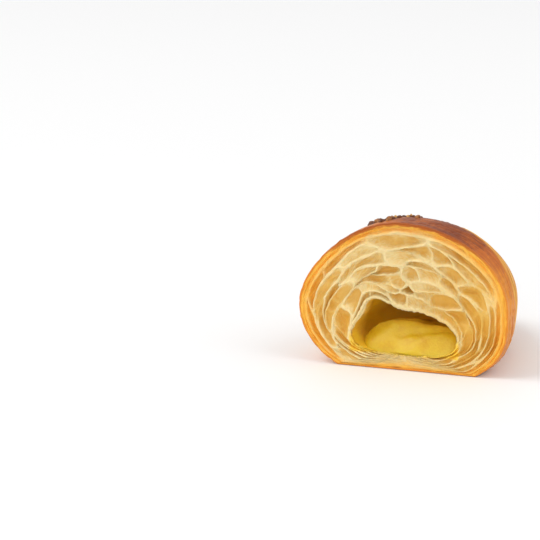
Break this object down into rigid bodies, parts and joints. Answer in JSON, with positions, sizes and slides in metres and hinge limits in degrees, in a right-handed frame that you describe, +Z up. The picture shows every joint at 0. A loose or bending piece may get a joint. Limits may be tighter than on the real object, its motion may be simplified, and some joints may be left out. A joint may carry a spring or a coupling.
{
  "type": "pistachio-filled croissant",
  "caption": "Half of a baked croissant, cut across its middle, with an open honeycomb crumb, a hollow holding pistachio cream, and chopped nuts on its ridge.",
  "frame": {"origin": "on the surface that the half stands on, under the middle of its box", "axes": "+Z up; the cut face looks along -Y and the tip of the roll points along +Y; +X is to the right of the cut face"},
  "size_m": [0.0866, 0.085, 0.0601],
  "materials": {
    "baked_crust": "egg-glazed baked dough, golden to brown, with pale layered edges",
    "pistachio_cream": "smooth moist cream",
    "crumb": "pale airy crumb, golden inside its cells",
    "chopped_nuts": "roasted nut pieces, dark brown to tan"
  },
  "bodies": {
    "root": {"croissant": "baked_crust", "pistachio_filling": "pistachio_cream"}
  },
  "joints": []
}
